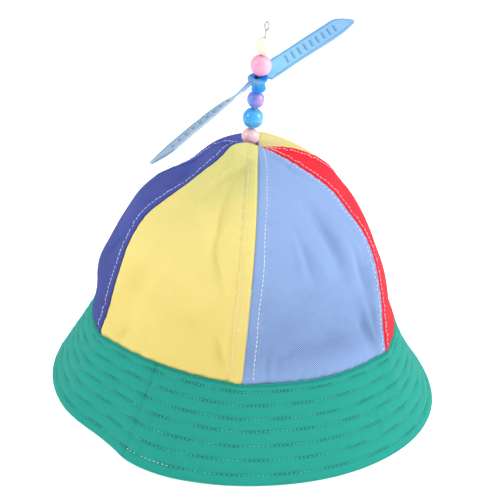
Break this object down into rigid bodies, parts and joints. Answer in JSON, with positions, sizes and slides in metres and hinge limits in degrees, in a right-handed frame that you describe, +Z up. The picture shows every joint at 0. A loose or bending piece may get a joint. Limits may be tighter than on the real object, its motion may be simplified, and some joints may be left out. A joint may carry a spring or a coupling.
{
  "type": "propeller beanie",
  "caption": "Cotton bucket hat with coloured crown panels, a stitched sloping brim, and a bead mast on top that carries a loose two-bladed spinning propeller.",
  "frame": {"origin": "on the surface that the hat rests on, at the middle of the brim's outline", "axes": "+Z up along the crown, -Y to the front, where the yellow and the light blue panels meet, +X to the hat's right side as seen from the front"},
  "size_m": [0.2265, 0.2308, 0.2155],
  "materials": {
    "cloth_yellow": "cotton twill",
    "cloth_light_blue": "cotton twill",
    "cloth_red": "cotton twill",
    "cloth_dark_blue": "cotton twill",
    "cloth_green": "cotton twill, two layers with rows of stitching",
    "bead_coral_pink": "polished",
    "bead_blue": "polished",
    "bead_violet": "polished",
    "bead_rose_pink": "polished",
    "bead_cream": "polished",
    "propeller_plastic": "moulded, slightly see-through",
    "wire_steel": "drawn wire"
  },
  "bodies": {
    "root": {"gore_yellow_front": "cloth_yellow", "gore_light_blue": "cloth_light_blue", "gore_red": "cloth_red", "gore_yellow_back": "cloth_yellow", "gore_dark_blue_back": "cloth_dark_blue", "gore_dark_blue_left": "cloth_dark_blue", "brim": "cloth_green", "bead_pink_small": "bead_coral_pink", "bead_sky_blue": "bead_blue", "bead_purple": "bead_violet", "bead_pink_large": "bead_rose_pink", "bead_ivory": "bead_cream", "mast_wire": "wire_steel"},
    "propeller": {"propeller": "propeller_plastic"}
  },
  "joints": [
    {"name": "propeller_spin", "type": "hinge", "parent": "root", "child": "propeller", "pos_m": [-0.00241, 0.00217, 0.18059], "axis": [0.0747, -0.0834, 0.9937], "continuous": true}
  ]
}
